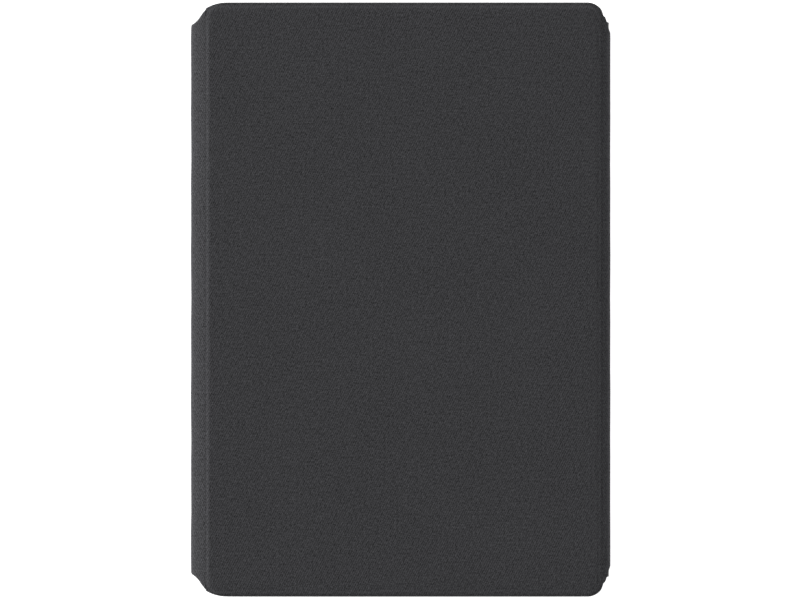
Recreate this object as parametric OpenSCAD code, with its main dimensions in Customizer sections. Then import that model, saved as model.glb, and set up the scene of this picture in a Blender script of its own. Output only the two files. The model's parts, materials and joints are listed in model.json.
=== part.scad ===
// Folding keyboard case for a ten-inch tablet, closed and lying flat.
// The long side runs along Y, the fold is at -X, the closing flap is at +X and the table is at Z = 0.
// The keyboard half is on top with its keys facing down, and the tablet tray lies on the back panel.

/* [Tablet] */
// Length of the tablet that the tray holds
tablet_l = 240; // [236:0.5:240.5]
// Width of the tablet
tablet_w = 165.6; // [162:0.2:165.8]
// Thickness of the tablet
tablet_t = 7.5; // [6:0.1:7.6]

/* [Closed case] */
// Length along the fold
case_l = 248; // [247:0.5:252]
// Width from the spine to the closing flap
case_w = 175.2; // [175.2:0.1:177]
// Thickness
case_h = 21; // [21:0.5:23]
// Corner radius of the covers at the flap side
corner_r = 7; // [5:0.5:8]
// Corner radius of the covers at the spine side
spine_corner_r = 9; // [7:0.5:10]

/* [Fabric and boards] */
// Thickness of the woven outer skin
skin_t = 0.6; // [0.5:0.05:0.7]
// Thickness of the stiff board in the back panel
board_t = 1.1; // [0.9:0.1:1.2]
// Thickness of the soft inner lining
lining_t = 0.5; // [0.3:0.1:0.5]
// Radius of the soft shoulder between a cover and the spine
fold_r = 5.4; // [4.5:0.1:5.6]
// Radius of the soft shoulder between the front cover and the flap
flap_r = 3.8; // [3.2:0.1:4]
// Height of the flap's lower edge above the table
flap_z = 2.6; // [2.5:0.1:4]

/* [Keyboard] */
// Width of one key unit, along a row
unit = 16; // [15.4:0.1:16]
// Distance between two rows of keys
row_pitch = 16.5; // [15.5:0.1:16.5]
// Depth of the short function row
function_pitch = 9.5; // [8:0.5:9.5]
// Gap between two neighbouring keycaps
key_gap = 2; // [1.8:0.1:2.4]
// How far a key goes down
key_travel = 1.1; // [0.8:0.1:1.1]
// Size of the touchpad along the rows
touchpad_l = 104; // [90:1:108]
// Size of the touchpad across the rows
touchpad_w = 58; // [50:1:58]

/* [Stand] */
// Distance from the tray's hinge to the prop leg's hinge, and length of the leg
leg_l = 80; // [70:1:80]
// Width of the prop leg
leg_w = 150; // [120:2:170]
// Steepest angle of the tray above the back panel
tilt_max = 65; // [55:1:65]
// Thickness of the tray's walls
wall = 1.8; // [1.5:0.1:1.8]
// Radius of the steel hinge pins
pin_r = 0.6; // [0.5:0.05:0.6]

/* [Hidden] */
$fn = 48;
eps = 0.01;

// Outer faces, and where the flat covers end and their soft shoulders begin
spine_x = -case_w / 2;
flap_x = case_w / 2;
fold_x = spine_x + fold_r;
crease_x = flap_x - flap_r;
half_l = case_l / 2;
spine_half_l = half_l - 8.8;
flap_half_l = half_l - 12.5;
flap_base_half_l = half_l - 8;
back_x = crease_x + 0.7;

// Heights of the back panel's layers
back_board_z = skin_t;
back_lining_z = back_board_z + board_t;
back_top = back_lining_z + lining_t;

// The tray stands over a gap that holds its hinge and the folded leg
barrel_r = 1.2;
swing_gap = 0.3;
hinge_z = back_top + swing_gap + barrel_r;
tray_z = hinge_z + barrel_r + swing_gap;
floor_t = 1.2;
pad_t = 0.4;
tablet_z = tray_z + floor_t + pad_t;
tray_top = tablet_z + tablet_t;
lip_t = 0.6;
fit = 0.3;
bay_l = tablet_l + 4 * fit;
bay_w = tablet_w + 2 * fit;
tray_x1 = flap_x - 2.3;
tray_x0 = tray_x1 - bay_w - 2 * wall;
tray_half_l = bay_l / 2 + wall;
tray_r = 8;
hinge_x = tray_x0 + barrel_r;
leg_x = hinge_x + leg_l;
running_fit = 0.04;
knuckles = 9;
knuckle_gap = 0.4;
knuckle_span = 220;
ear_y = 46;
ear_l = 12;
leg_t = 1.4;

// Heights in the keyboard half, which is built up from its outer skin towards the keys
chassis_t = 0.8;
chassis_z = case_h - skin_t - chassis_t;
deck_t = 1.2;
deck_z = case_h - 5.4;
deck_top = deck_z + deck_t;
chassis_wall = 1.4;
roll_w = 1.2; // the skin rolls over this step along the chassis's top edge
rim = 0.4;
cap_proud = 0.3;
cap_h = 2.3;
cap_z = deck_z - cap_proud;
cap_top = cap_z + cap_h;
cap_shell = 0.9;
cap_clear = 0.3;
cap_r = 1.6;
post_r = 1.5;
dome_r = 2.8;
sheet_t = 0.2;
sheet_z = cap_top + key_travel;
membrane_t = 0.15;
membrane_z = sheet_z + sheet_t;
key_plate_t = 0.4;
key_plate_z = membrane_z + membrane_t + 0.05;

// Keys: widths in units, from the user's left (+Y) to the right, in the rows from the spine outwards
rows = [
    [for (i = [1:15]) 1],
    concat([for (i = [1:13]) 1], [2]),
    concat([1.5], [for (i = [1:12]) 1], [1.5]),
    concat([1.75], [for (i = [1:11]) 1], [2.25]),
    concat([2.25], [for (i = [1:10]) 1], [2.75]),
    [1, 1, 1, 1.25, 5.5, 1.25, 1, 1, 1, 1]];
row_units = 15;
up_down = 8;
keys_x = fold_x + 3.7;
keys_y = row_units * unit / 2;
keys_end = keys_x + function_pitch + 5 * row_pitch;
function before(row, i) = i == 0 ? 0 : rows[row][i - 1] + before(row, i - 1);
function depth(row) = row == 0 ? function_pitch : row_pitch;
function row_x(row) = row == 0 ? keys_x : keys_x + function_pitch + (row - 1) * row_pitch;
function key_x(row) = row_x(row) + depth(row) / 2;
function key_y(row, i) = keys_y - (before(row, i) + rows[row][i] / 2) * unit;

// Palm rest, beyond the last row
palm_x = (keys_end + crease_x) / 2;
touchpad_t = 1.6;
touchpad_travel = 0.4;
screw_x = crease_x - 3.5;
screw_ys = [for (i = [-2:2]) i * 59];
lights_x = palm_x + 22;
lights_y = 118;
pair_y = 106;
port_x = palm_x - 18;
port_w = 8.9;
port_h = 3.1;
port_depth = 7.3;
switch_x = palm_x - 4;
switch_travel = 2.5;
knob_w = 4;

// Tray side buttons and the magnets
button_travel = 0.5;
volume_x = -52;
volume_l = 18;
sleep_x = -24;
sleep_l = 9;
speaker_slot = 24;
charging_slot = 16;
magnet_ys = [-84, -42, 0, 42, 84];
stand_angles = [tilt_max, tilt_max - 5, tilt_max - 10];
camera_x = tray_x1 - wall - 12;
camera_y = bay_l / 2 - 12;
camera_r = 7;

cloth = "#3a3a3c";
suede = "#2c2c2e";
board_grey = "#8c8a84";
steel = "#b9bcc0";
plastic = "#26272a";
cap_black = "#1d1e20";
rubber = "#1a1a1b";
magnet_grey = "#9ea3a8";

// Points along an arc, and the outline of a rounded rectangle
function arc(c, r, a0, a1, n = 8) =
    [for (i = [0:n]) let (a = a0 + (a1 - a0) * i / n) c + r * [cos(a), sin(a)]];
function rounded(x0, x1, y0, y1, r, n = 6) = concat(
    arc([x1 - r, y1 - r], r, 0, 90, n), arc([x0 + r, y1 - r], r, 90, 180, n),
    arc([x0 + r, y0 + r], r, 180, 270, n), arc([x1 - r, y0 + r], r, 270, 360, n));
// A band of cloth of one thickness that follows an arc
function band(c, r, t, a0, a1, n = 8) = concat(arc(c, r, a0, a1, n), arc(c, r - t, a1, a0, n));

// Half of the closed case's outline from above: the spine's ends and the flap's ends are cut back
function plan_half() = concat(
    [[spine_x, spine_half_l]],
    arc([spine_x + 12, half_l - spine_corner_r], spine_corner_r, 135, 90),
    arc([crease_x - corner_r + 1.2, half_l - corner_r], corner_r, 90, 0),
    [[flap_x - 1, flap_base_half_l], [flap_x - 0.6, flap_half_l + 1.5], [flap_x, flap_half_l]]);

module case_plan() {
    top = plan_half();
    last = len(top) - 1;
    polygon(concat(top, [for (i = [0:last]) [top[last - i].x, -top[last - i].y]]));
}

module within_plan() {
    intersection() {
        children();
        translate([0, 0, -1]) linear_extrude(case_h + 2) case_plan();
    }
}

// A flat sheet with rounded corners, from one height to another
module sheet(x0, x1, half_y, r, z0, z1) {
    translate([0, 0, z0]) linear_extrude(z1 - z0) polygon(rounded(x0, x1, -half_y, half_y, r));
}

// A flat sheet that follows the outline of the case
module plan_sheet(x0, x1, z0, z1) {
    translate([0, 0, z0]) linear_extrude(z1 - z0) intersection() {
        case_plan();
        translate([x0, -half_l]) square([x1 - x0, case_l]);
    }
}

// A profile drawn in X and Z, pushed along Y
module along_y(half_y) {
    rotate([90, 0, 0]) translate([0, 0, -half_y]) linear_extrude(2 * half_y) children();
}

module box(x0, x1, y0, y1, z0, z1) {
    translate([x0, y0, z0]) cube([x1 - x0, y1 - y0, z1 - z0]);
}

module rod(x, z, r, y0, y1) {
    translate([x, y1, z]) rotate([90, 0, 0]) cylinder(r = r, h = y1 - y0);
}

module both_ends() {
    children();
    mirror([0, 1, 0]) children();
}

module camera_window(z0, z1) {
    translate([camera_x, camera_y, z0 - eps]) cylinder(r = camera_r, h = z1 - z0 + 2 * eps);
}

// ---- Back panel ----

module back_skin() color(cloth) {
    difference() {
        plan_sheet(fold_x, back_x, 0, skin_t);
        camera_window(0, skin_t);
    }
    within_plan() along_y(half_l) polygon(band([fold_x, fold_r], fold_r, skin_t, 226, 270));
}

module magnet_pocket(x, y, gap) {
    box(x - 4 - gap, x + 4 + gap, y - 10 - gap, y + 10 + gap,
        back_lining_z - 1 + gap / 2, back_lining_z + gap);
}

function stand_x(angle) = hinge_x + 2 * leg_l * cos(angle);
stand_ys = [-60, -20, 20, 60];

module back_board() color(board_grey) difference() {
    sheet(fold_x + 0.6, back_x - 0.6, half_l - 1, corner_r, back_board_z, back_lining_z);
    camera_window(back_board_z, back_lining_z);
    for (a = stand_angles, y = stand_ys) magnet_pocket(stand_x(a), y, 0.1);
}

module stand_magnets() color(magnet_grey) {
    for (a = stand_angles, y = stand_ys)
        box(stand_x(a) - 4, stand_x(a) + 4, y - 10, y + 10, back_lining_z - 0.95, back_lining_z);
}

module back_lining() color(suede) difference() {
    sheet(fold_x + 0.3, back_x - 0.3, half_l - 0.7, corner_r, back_lining_z, back_top);
    camera_window(back_lining_z, back_top);
}

// ---- Hinge between the back panel and the tray ----

knuckle_l = knuckle_span / knuckles;
function knuckle_y(i) = -knuckle_span / 2 + i * knuckle_l + knuckle_gap / 2;

module knuckle(i, x0, x1, z0, z1, bore) {
    y = knuckle_y(i);
    difference() {
        union() {
            rod(hinge_x, hinge_z, barrel_r, y, y + knuckle_l - knuckle_gap);
            box(x0, x1, y, y + knuckle_l - knuckle_gap, z0, z1);
        }
        rod(hinge_x, hinge_z, bore, y - 1, y + knuckle_l + 1);
    }
}

module tray_hinge_leaf() color(steel) {
    leaf_t = 0.5;
    difference() {
        sheet(hinge_x + 0.2, hinge_x + 9, knuckle_span / 2 - 1, 2, back_top, back_top + leaf_t);
        for (i = [1:2:knuckles - 2])
            box(hinge_x, hinge_x + 2, knuckle_y(i) - knuckle_gap, knuckle_y(i + 1), 0, case_h);
    }
    for (i = [0:2:knuckles - 1])
        knuckle(i, hinge_x + pin_r + 0.1, hinge_x + barrel_r, back_top, hinge_z, pin_r);
}

module tray_hinge_pin() color(steel) rod(hinge_x, hinge_z, pin_r, -knuckle_span / 2, knuckle_span / 2);

// ---- Spine ----

module spine_skin() color(cloth) within_plan() {
    box(spine_x, spine_x + skin_t, -half_l, half_l, fold_r, case_h - fold_r);
    along_y(half_l) polygon(band([fold_x, case_h - fold_r], fold_r, skin_t, 180, 134));
    along_y(half_l) polygon(band([fold_x, fold_r], fold_r, skin_t, 180, 224));
}

module spine_board() color(board_grey)
    box(spine_x + skin_t, spine_x + skin_t + 0.8, -spine_half_l + 1, spine_half_l - 1,
        fold_r, case_h - fold_r);

module spine_lining() color(suede)
    box(spine_x + skin_t + 0.8, spine_x + skin_t + 0.8 + lining_t, 0.5 - spine_half_l, spine_half_l - 0.5,
        fold_r - 0.6, case_h - fold_r + 0.6);

// ---- Keyboard half ----

module front_skin() color(cloth) {
    plan_sheet(fold_x, crease_x, case_h - skin_t, case_h);
    within_plan() {
        along_y(half_l) polygon(band([fold_x, case_h - fold_r], fold_r, skin_t, 132, 90));
        along_y(half_l) polygon(band([crease_x, case_h - flap_r], flap_r, skin_t, 90, 47));
    }
}

module deck_outline(z0, z1, inset = 0) {
    sheet(fold_x + rim + 0.2 + inset, crease_x - rim - inset, half_l - rim - inset, corner_r - inset, z0, z1);
}

module port_hole(gap) {
    box(port_x - port_w / 2 - gap, port_x + port_w / 2 + gap, half_l - rim - port_depth - gap, half_l,
        chassis_z - port_h - 2 * gap, chassis_z);
}

module chassis() color(plastic) difference() {
    union() {
        deck_outline(chassis_z, chassis_z + chassis_t / 2);
        deck_outline(chassis_z, chassis_z + chassis_t, roll_w);
        difference() {
            deck_outline(deck_top, chassis_z);
            deck_outline(deck_top - eps, chassis_z + eps, chassis_wall);
        }
        for (y = screw_ys) translate([screw_x, y, deck_top]) cylinder(r = 1.8, h = chassis_z - deck_top + eps);
    }
    for (y = screw_ys) translate([screw_x, y, deck_top - eps]) cylinder(r = 0.7, h = 2.4);
    port_hole(0.1);
    box(switch_x - knob_w / 2 - cap_clear, switch_x + knob_w / 2 + switch_travel + cap_clear,
        half_l - 4, half_l, deck_top + 0.3, chassis_z - 0.3);
}

module key_deck() color(plastic) difference() {
    translate([0, 0, deck_z]) linear_extrude(deck_t) difference() {
        polygon(rounded(fold_x + rim + 0.2, crease_x - rim, rim - half_l, half_l - rim, corner_r));
        for (row = [0:5], i = [0:len(rows[row]) - 1])
            cap_outline(key_x(row), key_y(row, i), depth(row), rows[row][i] * unit, -cap_clear);
        polygon(rounded(palm_x - touchpad_w / 2 - cap_clear, palm_x + touchpad_w / 2 + cap_clear,
            -touchpad_l / 2 - cap_clear, touchpad_l / 2 + cap_clear, 3));
        for (i = [0:2]) translate([lights_x, lights_y - 4 * i]) circle(r = 0.8);
        translate([lights_x, pair_y]) circle(r = 2.1);
        for (y = screw_ys) translate([screw_x, y]) circle(r = 0.8);
    }
    for (y = screw_ys) translate([screw_x, y, deck_z - eps]) cylinder(r = 1.5, h = 0.7);
    port_hole(0.1);
}

module key_area(z0, z1) sheet(keys_x - 1, keys_end + 0.5, keys_y + 1, 2, z0, z1);

module key_plate() color(steel) key_area(key_plate_z, key_plate_z + key_plate_t);

module key_membrane() color("#c9c6b8") key_area(membrane_z, membrane_z + membrane_t);

module dome(x, y) translate([x, y, cap_top]) cylinder(r1 = post_r, r2 = dome_r, h = key_travel + eps);

module dome_sheet() color("#d8d8d6") {
    key_area(sheet_z, sheet_z + sheet_t);
    for (row = [0:5], i = [0:len(rows[row]) - 1])
        if (row < 5 || i != up_down) dome(key_x(row), key_y(row, i));
    for (s = [-1, 1]) dome(key_x(5) + s * row_pitch / 4, key_y(5, up_down));
}

module battery() color("#6f7276") translate([0, -88, 0])
    sheet(palm_x - 28, palm_x + 27, 30, 2, deck_top + 0.2, chassis_z - 0.2);

module controller_board() color("#1f4d3a") difference() {
    box(palm_x - 28, palm_x + 12, 58, half_l - 5, deck_top + 0.9, deck_top + 1.7);
    port_hole(0.3);
}

// An oval bar along Y that ends at the side wall of the chassis
module port_bar(w, h, depth, proud = 0) {
    translate([port_x, half_l - rim + proud, chassis_z - port_h / 2 - 0.1]) rotate([90, 0, 0])
        linear_extrude(depth) polygon(rounded(-w / 2, w / 2, -h / 2, h / 2, h / 2 - 0.05));
}

module usb_port() color(steel) {
    difference() {
        port_bar(port_w, port_h, port_depth);
        port_bar(port_w - 0.6, port_h - 0.6, port_depth - 1, eps);
    }
    port_tongue_w = 6.6;
    translate([0, -1.2, 0]) port_bar(port_tongue_w, 0.7, port_depth - 1.7);
}

module status_lights() color("#e8f4ff")
    for (i = [0:2]) translate([lights_x, lights_y - 4 * i, deck_z]) cylinder(r = 0.8, h = 1.5);

module deck_screws() color(steel) for (y = screw_ys) translate([screw_x, y, 0]) {
    translate([0, 0, deck_z + 0.1]) cylinder(r = 1.4, h = 0.55);
    translate([0, 0, deck_z + 0.6]) cylinder(r = 0.7, h = 2.4);
}

module deck_bumpers() color(rubber) for (y = screw_ys) translate([screw_x, y, 0]) difference() {
    translate([0, 0, deck_z - 0.45]) cylinder(r = 2.4, h = 0.45);
    translate([0, 0, deck_z - 0.1]) cylinder(r = 1.2, h = 0.2);
}

module power_switch() color(rubber) {
    box(switch_x - knob_w / 2, switch_x + knob_w / 2, half_l - 3, half_l, deck_top + 0.6, chassis_z - 0.6);
    box(switch_x - knob_w / 2 - 2, switch_x + knob_w / 2 + 2, half_l - 4, half_l - 2.1,
        deck_top + 0.4, chassis_z - 0.4);
}

module pair_button() color(cap_black)
    translate([lights_x, pair_y, deck_z - 0.2]) cylinder(r = 1.8, h = 1.8);

module touchpad() color("#303134")
    sheet(palm_x - touchpad_w / 2, palm_x + touchpad_w / 2, touchpad_l / 2, 2.7, deck_z, deck_z + touchpad_t);

// ---- Keys ----

// Outline of a keycap in its cell; a positive inset shrinks it
module cap_outline(x, y, cell_x, cell_y, inset = 0) {
    hx = (cell_x - key_gap) / 2 - inset;
    hy = (cell_y - key_gap) / 2 - inset;
    polygon(rounded(x - hx, x + hx, y - hy, y + hy, max(cap_r - inset, 0.5), 3));
}

module cap(x, y, cell_x, cell_y) color(cap_black) {
    difference() {
        union() {
            translate([0, 0, cap_z]) linear_extrude(0.45) cap_outline(x, y, cell_x, cell_y, 0.4);
            translate([0, 0, cap_z + 0.4]) linear_extrude(cap_h - 0.4) cap_outline(x, y, cell_x, cell_y);
        }
        translate([0, 0, cap_z + cap_shell]) linear_extrude(cap_h) cap_outline(x, y, cell_x, cell_y, cap_shell);
    }
    translate([x, y, cap_z + cap_shell - eps]) cylinder(r = post_r, h = cap_h - cap_shell + eps);
}

module keys(row, which) {
    for (i = which) cap(key_x(row), key_y(row, i), depth(row), rows[row][i] * unit);
}

// The up and down arrows share one cell, each with half of its depth
module half_key(side) {
    cap(key_x(5) + side * row_pitch / 4, key_y(5, up_down), row_pitch / 2 + key_gap / 2 - 0.4, unit);
}

module escape_key() keys(0, [0]);
module function_keys() keys(0, [1:14]);
module number_keys() keys(1, [0:12]);
module backspace_key() keys(1, [13]);
module tab_key() keys(2, [0]);
module upper_letter_keys() keys(2, [1:13]);
module caps_lock_key() keys(3, [0]);
module home_letter_keys() keys(3, [1:11]);
module enter_key() keys(3, [12]);
module left_shift_key() keys(4, [0]);
module lower_letter_keys() keys(4, [1:10]);
module right_shift_key() keys(4, [11]);
module fn_key() keys(5, [0]);
module control_key() keys(5, [1]);
module left_alt_key() keys(5, [2]);
module left_command_key() keys(5, [3]);
module space_key() keys(5, [4]);
module right_command_key() keys(5, [5]);
module right_alt_key() keys(5, [6]);
module arrow_left_key() keys(5, [7]);
module arrow_up_key() half_key(-1);
module arrow_down_key() half_key(1);
module arrow_right_key() keys(5, [9]);

// ---- Closing flap ----

flap_magnet_z = (flap_z + case_h - flap_r) / 2;

module flap_skin() color(cloth) within_plan() {
    box(flap_x - skin_t, flap_x, -half_l, half_l, flap_z, case_h - flap_r);
    along_y(half_l) polygon(band([crease_x, case_h - flap_r], flap_r, skin_t, 43, 0));
}

module flap_stiffener() color(suede) difference() {
    x1 = flap_x - skin_t;
    along_y(flap_base_half_l - 1) polygon(rounded(x1 - 1.1, x1, flap_z, case_h - flap_r, 0.3, 3));
    for (y = magnet_ys)
        box(x1 - 0.85, x1 + 1, y - 10.1, y + 10.1, flap_magnet_z - 3.1, flap_magnet_z + 3.1);
}

module flap_magnets() color(magnet_grey) {
    x1 = flap_x - skin_t;
    for (y = magnet_ys) box(x1 - 0.8, x1, y - 10, y + 10, flap_magnet_z - 3, flap_magnet_z + 3);
}

// ---- Tablet tray ----

catch_z = 9;

module tray_body() difference() {
    sheet(tray_x0, tray_x1, tray_half_l, tray_r, tray_z, tray_top);
    sheet(tray_x0 + wall, tray_x1 - wall, bay_l / 2, tray_r - wall, tray_z + floor_t, tray_top + 1);
}

module side_slot(x, l, end) {
    y = end * (tray_half_l - wall / 2);
    box(x - l / 2, x + l / 2, y - wall, y + wall, tablet_z + 1.2, tablet_z + 6);
}

module tray_shell() color(plastic) difference() {
    union() {
        tray_body();
        for (i = [1:2:knuckles - 2])
            knuckle(i, hinge_x - barrel_r, hinge_x + barrel_r, hinge_z, tray_z + eps, pin_r + running_fit);
        for (s = [-1, 1]) {
            rod(leg_x, hinge_z, barrel_r, s * ear_y - ear_l / 2, s * ear_y + ear_l / 2);
            box(leg_x - barrel_r, leg_x + barrel_r, s * ear_y - ear_l / 2, s * ear_y + ear_l / 2,
                hinge_z, tray_z + eps);
        }
    }
    for (s = [-1, 1])
        rod(leg_x, hinge_z, pin_r, s * ear_y - ear_l / 2 - 1, s * ear_y + ear_l / 2 + 1);
    for (i = [1:2:knuckles - 2])
        rod(hinge_x, hinge_z, pin_r + running_fit, knuckle_y(i) - 1, knuckle_y(i) + knuckle_l);
    camera_window(tray_z, tray_z + floor_t);
    side_slot(0, charging_slot, -1);
    for (x = [-38, 38]) side_slot(x, speaker_slot, -1);
    side_slot(38, speaker_slot, 1);
    side_slot(volume_x, volume_l + 2 * fit, 1);
    side_slot(sleep_x, sleep_l + 2 * fit, 1);
    for (y = magnet_ys)
        box(tray_x1 - 1.1, tray_x1 + 1, y - 10.1, y + 10.1, catch_z - 3.1, catch_z + 3.1);
}

module catch_magnets() color(magnet_grey)
    for (y = magnet_ys) box(tray_x1 - 1.1, tray_x1 - 0.1, y - 10, y + 10, catch_z - 3, catch_z + 3);

// Four soft grips that hold the tablet's corners down
module corner_grips() color(rubber) difference() {
    sheet(tray_x0, tray_x1, tray_half_l, tray_r, tray_top, tray_top + lip_t);
    sheet(tray_x0 + wall + 1.6, tray_x1 - wall - 1.6, bay_l / 2 - 1.6, tray_r - wall - 1, 0, case_h);
    box(tray_x0 + 16, tray_x1 - 16, -half_l, half_l, 0, case_h);
    box(spine_x, flap_x, 16 - tray_half_l, tray_half_l - 16, 0, case_h);
}

module tray_pad() color(suede) difference() {
    sheet(tray_x0 + wall + 0.2, tray_x1 - wall - 0.2, bay_l / 2 - 0.2, tray_r - wall,
        tray_z + floor_t, tablet_z);
    camera_window(tray_z + floor_t, tablet_z);
}

module side_button(x, l) color(rubber) {
    z0 = tablet_z + 1.5;
    z1 = tablet_z + 5.7;
    y0 = bay_l / 2;
    box(x - l / 2, x + l / 2, y0 + button_travel + 0.1, tray_half_l + 0.6, z0, z1);
}

module volume_button() side_button(volume_x, volume_l);
module sleep_button() side_button(sleep_x, sleep_l);

// ---- Prop leg ----

leg_end_x = leg_x + leg_l;
ear_gap = 0.4;

module leg_pins() color(steel) for (s = [-1, 1])
    rod(leg_x, hinge_z, pin_r, s * ear_y - 16, s * ear_y + 16);

module leg_plate() color(steel) difference() {
    union() {
        sheet(leg_x, leg_end_x, leg_w / 2, 0.5, hinge_z - leg_t / 2, hinge_z + leg_t / 2);
        rod(leg_x, hinge_z, barrel_r, -leg_w / 2, leg_w / 2);
    }
    for (s = [-1, 1])
        box(leg_x - 2, leg_x + barrel_r + 0.8, s * ear_y - ear_l / 2 - ear_gap, s * ear_y + ear_l / 2 + ear_gap,
            0, case_h);
    for (s = [-1, 1]) rod(leg_x, hinge_z, pin_r + running_fit, s * ear_y - 16.5, s * ear_y + 16.5);
}

module leg_foot() color(rubber) difference() {
    rod(leg_end_x, hinge_z, barrel_r, -leg_w / 2, leg_w / 2);
    box(leg_end_x - 2, leg_end_x, -leg_w / 2 - 1, leg_w / 2 + 1, hinge_z - leg_t / 2, hinge_z + leg_t / 2);
}

back_skin();
back_board();
back_lining();
stand_magnets();
tray_hinge_leaf();
tray_hinge_pin();
spine_skin();
spine_board();
spine_lining();
front_skin();
chassis();
key_deck();
key_plate();
key_membrane();
dome_sheet();
battery();
controller_board();
usb_port();
status_lights();
deck_screws();
deck_bumpers();
power_switch();
pair_button();
touchpad();
function_keys();
number_keys();
upper_letter_keys();
home_letter_keys();
lower_letter_keys();
escape_key();
backspace_key();
tab_key();
caps_lock_key();
enter_key();
left_shift_key();
right_shift_key();
fn_key();
control_key();
left_alt_key();
left_command_key();
space_key();
right_command_key();
right_alt_key();
arrow_left_key();
arrow_up_key();
arrow_down_key();
arrow_right_key();
flap_skin();
flap_stiffener();
flap_magnets();
tray_shell();
corner_grips();
tray_pad();
catch_magnets();
volume_button();
sleep_button();
leg_pins();
leg_plate();
leg_foot();
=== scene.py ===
# %% [markdown]
# # A tablet keyboard case in woven cloth
#
# The case is a folio: a keyboard half and a back panel, joined by a soft spine, with a flap that closes
# the open side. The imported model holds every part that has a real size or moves. This lesson adds what
# the eye sees: cloth that runs over the folds without a break, keycaps with dished tops and printed
# legends, and a finish for every material.

# %% Load the frame
import json
import math

import bmesh
import bpy
import numpy as np
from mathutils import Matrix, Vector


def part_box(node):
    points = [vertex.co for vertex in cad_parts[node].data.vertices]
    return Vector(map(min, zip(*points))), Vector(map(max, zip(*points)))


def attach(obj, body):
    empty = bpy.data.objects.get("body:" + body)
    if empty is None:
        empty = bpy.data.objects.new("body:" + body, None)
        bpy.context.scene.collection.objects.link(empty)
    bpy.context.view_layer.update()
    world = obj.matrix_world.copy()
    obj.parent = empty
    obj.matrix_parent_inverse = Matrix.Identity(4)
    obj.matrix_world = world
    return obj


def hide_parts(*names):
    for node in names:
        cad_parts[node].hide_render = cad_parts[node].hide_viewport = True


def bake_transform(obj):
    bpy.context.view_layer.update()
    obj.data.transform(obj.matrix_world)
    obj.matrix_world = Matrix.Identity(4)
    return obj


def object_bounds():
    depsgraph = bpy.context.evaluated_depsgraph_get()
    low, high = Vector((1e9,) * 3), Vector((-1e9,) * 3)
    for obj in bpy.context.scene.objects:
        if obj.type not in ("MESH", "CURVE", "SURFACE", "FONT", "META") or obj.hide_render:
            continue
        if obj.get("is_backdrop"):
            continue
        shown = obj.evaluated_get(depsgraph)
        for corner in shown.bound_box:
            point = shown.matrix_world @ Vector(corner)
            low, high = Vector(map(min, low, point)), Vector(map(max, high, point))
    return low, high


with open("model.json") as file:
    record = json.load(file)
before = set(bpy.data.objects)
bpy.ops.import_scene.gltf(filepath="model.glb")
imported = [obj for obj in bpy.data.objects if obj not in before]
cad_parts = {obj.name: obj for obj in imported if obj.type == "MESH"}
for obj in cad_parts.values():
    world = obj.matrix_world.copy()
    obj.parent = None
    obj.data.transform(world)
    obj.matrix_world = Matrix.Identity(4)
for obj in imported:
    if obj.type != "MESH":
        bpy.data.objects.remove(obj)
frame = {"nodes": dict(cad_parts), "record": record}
nodes = frame["nodes"]
cad_box = [list(corner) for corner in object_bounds()]
print("case, in metres:", cad_box)

# %% [markdown]
# ## Sizes
#
# A node's box says where its part lies at rest. The cloth's own sizes, such as how far a fold's soft
# shoulder reaches, are worked out from those boxes, so the cloth stays on the parts it covers.

# %% Sizes taken from the frame
MM = 0.001
low, high = cad_box
spine_x, flap_x = low[0], high[0]
half_length, top_z = high[1], high[2]


def corners(node):
    """The lowest and highest corner of one node, as two plain lists."""
    return [list(c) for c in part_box(node)]


flap_low, flap_high = corners("flap_skin")
stiffener_low, stiffener_high = corners("flap_stiffener")
spine_end = corners("spine_board")[1][1] + 1 * MM
flap_end = stiffener_high[1] - 3.5 * MM
cloth_t = flap_high[0] - stiffener_high[0]
middle_z = top_z / 2
print("cloth thickness, mm:", round(cloth_t / MM, 2))
print("spine end, mm:", round(spine_end / MM, 1))

# %% [markdown]
# ## Camera
#
# The case lies flat and is seen from straight above. A long lens a few metres away keeps its sides
# upright, as a studio camera does.

# %% Camera
scene = bpy.context.scene
VIEW_WIDTH = 333.6 * MM
CAMERA_HEIGHT = 2.6
CAMERA_OFFSET = (-0.25 * MM, -0.2 * MM)


def make_camera():
    """A long lens that looks straight down and sees VIEW_WIDTH at the height of the front cover."""
    data = bpy.data.cameras.new("camera")
    data.lens = data.sensor_width * (CAMERA_HEIGHT - top_z) / VIEW_WIDTH
    camera = bpy.data.objects.new("camera", data)
    camera.location = (*CAMERA_OFFSET, CAMERA_HEIGHT)
    scene.collection.objects.link(camera)
    scene.camera = camera


make_camera()
print("lens, mm:", round(scene.camera.data.lens, 1))

# %% [markdown]
# ## Shader maths
#
# A node tree is hard to read as code. `Value` wraps one socket and overloads the usual operators, so a
# pattern is written as a sum, and each operator adds its own Math node.

# %% Shader maths


class Value:
    """One output socket, with arithmetic that adds Math nodes to the same finish."""

    def __init__(self, finish, socket):
        self.finish = finish
        self.socket = socket

    def maths(self, operation, *others):
        inputs = dict(enumerate((self,) + others))
        return self.finish.node("Math", {"operation": operation}, inputs)

    def __add__(self, other):
        return self.maths("ADD", other)

    __radd__ = __add__

    def __mul__(self, other):
        return self.maths("MULTIPLY", other)

    __rmul__ = __mul__

    def __sub__(self, other):
        return self.maths("SUBTRACT", other)

    def __rsub__(self, other):
        return (self * -1) + other

    def __truediv__(self, other):
        return self.maths("DIVIDE", other)

    def __pow__(self, other):
        return self.maths("POWER", other)

    def floor(self):
        return self.maths("FLOOR")

    def fract(self):
        return self.maths("FRACT")

    def sine(self):
        return self.maths("SINE")

    def at_least(self, other):
        return self.maths("MAXIMUM", other)

    def clamped(self):
        return self.maths("MINIMUM", 1).maths("MAXIMUM", 0)


# %% [markdown]
# ## Finishes
#
# `Finish` makes a material, or the world's light. Its method `node` adds any kind of node: first the
# settings, since they decide which sockets there are, then what goes into the sockets. A colour between
# two colours comes from a Mix node, because a Math node would turn it grey.

# %% Finishes


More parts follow.
